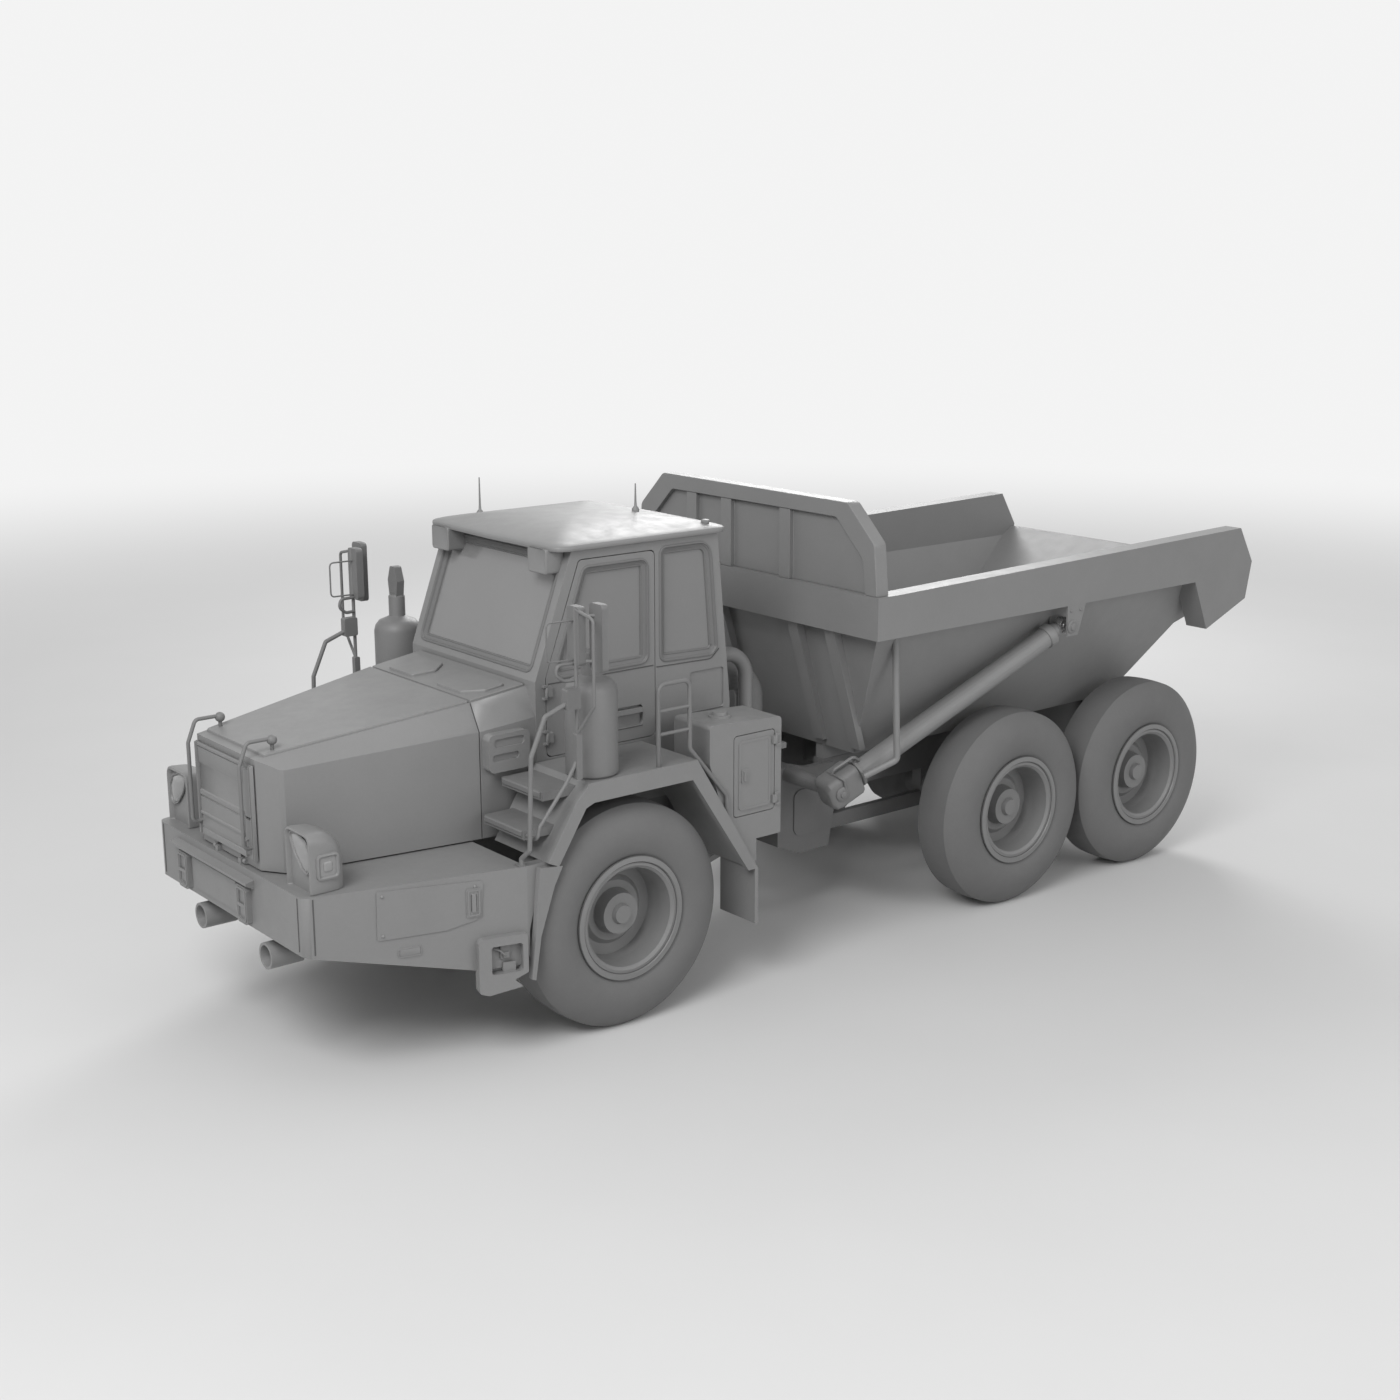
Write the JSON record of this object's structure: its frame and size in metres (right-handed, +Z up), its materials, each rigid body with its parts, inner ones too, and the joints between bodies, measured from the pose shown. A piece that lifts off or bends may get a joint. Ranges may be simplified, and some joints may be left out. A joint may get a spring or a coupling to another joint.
{
  "type": "articulated dump truck",
  "caption": "Three-axle articulated dump truck with a hinged nose, hollow cab, steering and roll hitch, tipping load body on hoist rams and freely turning wheels.",
  "frame": {"origin": "on the ground under the middle of the overall length and width", "axes": "X across with the driver's left side positive, Y from the nose (negative) to the tail (positive), Z up from the ground"},
  "size_m": [3.29, 9.135, 3.5848],
  "materials": {
    "tyre": "matt black rubber shown grey",
    "rim_paint": "satin grey paint",
    "chassis_paint": "satin grey paint",
    "body_paint": "satin grey paint",
    "trim": "matt grey plastic",
    "machinery": "satin grey paint",
    "glass": "grey glass",
    "rod_steel": "plain steel rod"
  },
  "bodies": {
    "front": {"front_frame": "chassis_paint", "front_axle": "chassis_paint", "bumper": "body_paint", "engine_block": "machinery", "cowl": "body_paint", "headlamps": "trim", "front_fenders": "body_paint", "side_boxes": "body_paint", "cab_shell": "body_paint", "cab_glass": "glass", "cab_roof": "body_paint", "cab_interior": "trim", "access_steps": "trim", "mirrors": "trim", "canisters": "machinery", "cab_ducts": "machinery"},
    "hood": {"hood": "body_paint", "grille": "trim"},
    "cab_door": {"cab_door": "body_paint", "door_glass": "glass"},
    "box_door": {"box_door": "body_paint"},
    "knuckle": {"hitch_knuckle": "chassis_paint"},
    "rear": {"rear_frame": "chassis_paint", "tandem_axles": "chassis_paint"},
    "bed": {"dump_body": "body_paint", "headboard": "body_paint"},
    "steer_barrel_left": {"steer_barrel_left": "chassis_paint"},
    "steer_rod_left": {"steer_rod_left": "rod_steel"},
    "hoist_barrel_left": {"hoist_barrel_left": "body_paint"},
    "hoist_rod_left": {"hoist_rod_left": "rod_steel"},
    "steer_barrel_right": {"steer_barrel_right": "chassis_paint"},
    "steer_rod_right": {"steer_rod_right": "rod_steel"},
    "hoist_barrel_right": {"hoist_barrel_right": "body_paint"},
    "hoist_rod_right": {"hoist_rod_right": "rod_steel"},
    "wheel_front_left": {"front_left_tyre": "tyre", "front_left_rim": "rim_paint"},
    "wheel_front_right": {"front_right_tyre": "tyre", "front_right_rim": "rim_paint"},
    "wheel_mid_left": {"mid_left_tyre": "tyre", "mid_left_rim": "rim_paint"},
    "wheel_mid_right": {"mid_right_tyre": "tyre", "mid_right_rim": "rim_paint"},
    "wheel_rear_left": {"rear_left_tyre": "tyre", "rear_left_rim": "rim_paint"},
    "wheel_rear_right": {"rear_right_tyre": "tyre", "rear_right_rim": "rim_paint"}
  },
  "joints": [
    {"name": "steer", "type": "hinge", "parent": "front", "child": "knuckle", "pos_m": [0, -0.2375, 0.88], "axis": [0, 0, 1], "range_deg": [-45, 45]},
    {"name": "roll", "type": "hinge", "parent": "knuckle", "child": "rear", "pos_m": [0, -0.0375, 0.88], "axis": [0, 1, 0], "range_deg": [-12, 12]},
    {"name": "tip", "type": "hinge", "parent": "rear", "child": "bed", "pos_m": [0, 3.7525, 1.1], "axis": [-1, 0, 0], "range_deg": [0, 65]},
    {"name": "hood_open", "type": "hinge", "parent": "front", "child": "hood", "pos_m": [0, -4.4725, 1.372], "axis": [1, 0, 0], "range_deg": [0, 60]},
    {"name": "cab_door_open", "type": "hinge", "parent": "front", "child": "cab_door", "pos_m": [0.814, -2.4835, 2], "axis": [0, 0, -1], "range_deg": [0, 38]},
    {"name": "box_door_open", "type": "hinge", "parent": "front", "child": "box_door", "pos_m": [1.412, -0.9275, 1.62], "axis": [0, 0, 1], "range_deg": [0, 90]},
    {"name": "front_left_roll", "type": "hinge", "parent": "front", "child": "wheel_front_left", "pos_m": [1.205, -2.2375, 0.8], "axis": [1, 0, 0], "continuous": true},
    {"name": "front_right_roll", "type": "hinge", "parent": "front", "child": "wheel_front_right", "pos_m": [-1.205, -2.2375, 0.8], "axis": [1, 0, 0], "continuous": true},
    {"name": "mid_left_roll", "type": "hinge", "parent": "rear", "child": "wheel_mid_left", "pos_m": [1.205, 1.6875, 0.8], "axis": [1, 0, 0], "continuous": true},
    {"name": "mid_right_roll", "type": "hinge", "parent": "rear", "child": "wheel_mid_right", "pos_m": [-1.205, 1.6875, 0.8], "axis": [1, 0, 0], "continuous": true},
    {"name": "rear_left_roll", "type": "hinge", "parent": "rear", "child": "wheel_rear_left", "pos_m": [1.205, 3.3075, 0.8], "axis": [1, 0, 0], "continuous": true},
    {"name": "rear_right_roll", "type": "hinge", "parent": "rear", "child": "wheel_rear_right", "pos_m": [-1.205, 3.3075, 0.8], "axis": [1, 0, 0], "continuous": true},
    {"name": "steer_barrel_left_swing", "type": "hinge", "parent": "front", "child": "steer_barrel_left", "pos_m": [0.4, -1.4875, 0.88], "axis": [0, 0, 1], "range_deg": [-1, 1]},
    {"name": "steer_rod_left_slide", "type": "slide", "parent": "steer_barrel_left", "child": "steer_rod_left", "axis": [0, 1, 0], "range_m": [-0.3, 0.3]},
    {"name": "hoist_barrel_left_swing", "type": "hinge", "parent": "rear", "child": "hoist_barrel_left", "pos_m": [0.98, 0.0525, 1.18], "axis": [-0.5141, -0.3088, 0.8002], "range_deg": [0, 5]},
    {"name": "hoist_rod_left_slide", "type": "slide", "parent": "hoist_barrel_left", "child": "hoist_rod_left", "axis": [0.1569, 0.8834, 0.4417], "range_m": [0, 2.1]},
    {"name": "steer_barrel_right_swing", "type": "hinge", "parent": "front", "child": "steer_barrel_right", "pos_m": [-0.4, -1.4875, 0.88], "axis": [0, 0, 1], "range_deg": [-1, 1]},
    {"name": "steer_rod_right_slide", "type": "slide", "parent": "steer_barrel_right", "child": "steer_rod_right", "axis": [0, 1, 0], "range_m": [-0.3, 0.3]},
    {"name": "hoist_barrel_right_swing", "type": "hinge", "parent": "rear", "child": "hoist_barrel_right", "pos_m": [-0.98, 0.0525, 1.18], "axis": [-0.5141, 0.3088, -0.8002], "range_deg": [0, 5]},
    {"name": "hoist_rod_right_slide", "type": "slide", "parent": "hoist_barrel_right", "child": "hoist_rod_right", "axis": [-0.1569, 0.8834, 0.4417], "range_m": [0, 2.1]}
  ],
  "couplings": [
    {"joint": "steer_barrel_left_swing", "follows": "steer", "ratio": 0.017},
    {"joint": "steer_rod_left_slide", "follows": "steer", "m_per_rad": 0.363},
    {"joint": "hoist_barrel_left_swing", "follows": "tip", "ratio": 0.07492},
    {"joint": "hoist_rod_left_slide", "follows": "tip", "m_per_rad": 1.8191},
    {"joint": "steer_barrel_right_swing", "follows": "steer", "ratio": 0.017},
    {"joint": "steer_rod_right_slide", "follows": "steer", "m_per_rad": -0.363},
    {"joint": "hoist_barrel_right_swing", "follows": "tip", "ratio": 0.07492},
    {"joint": "hoist_rod_right_slide", "follows": "tip", "m_per_rad": 1.8191}
  ]
}
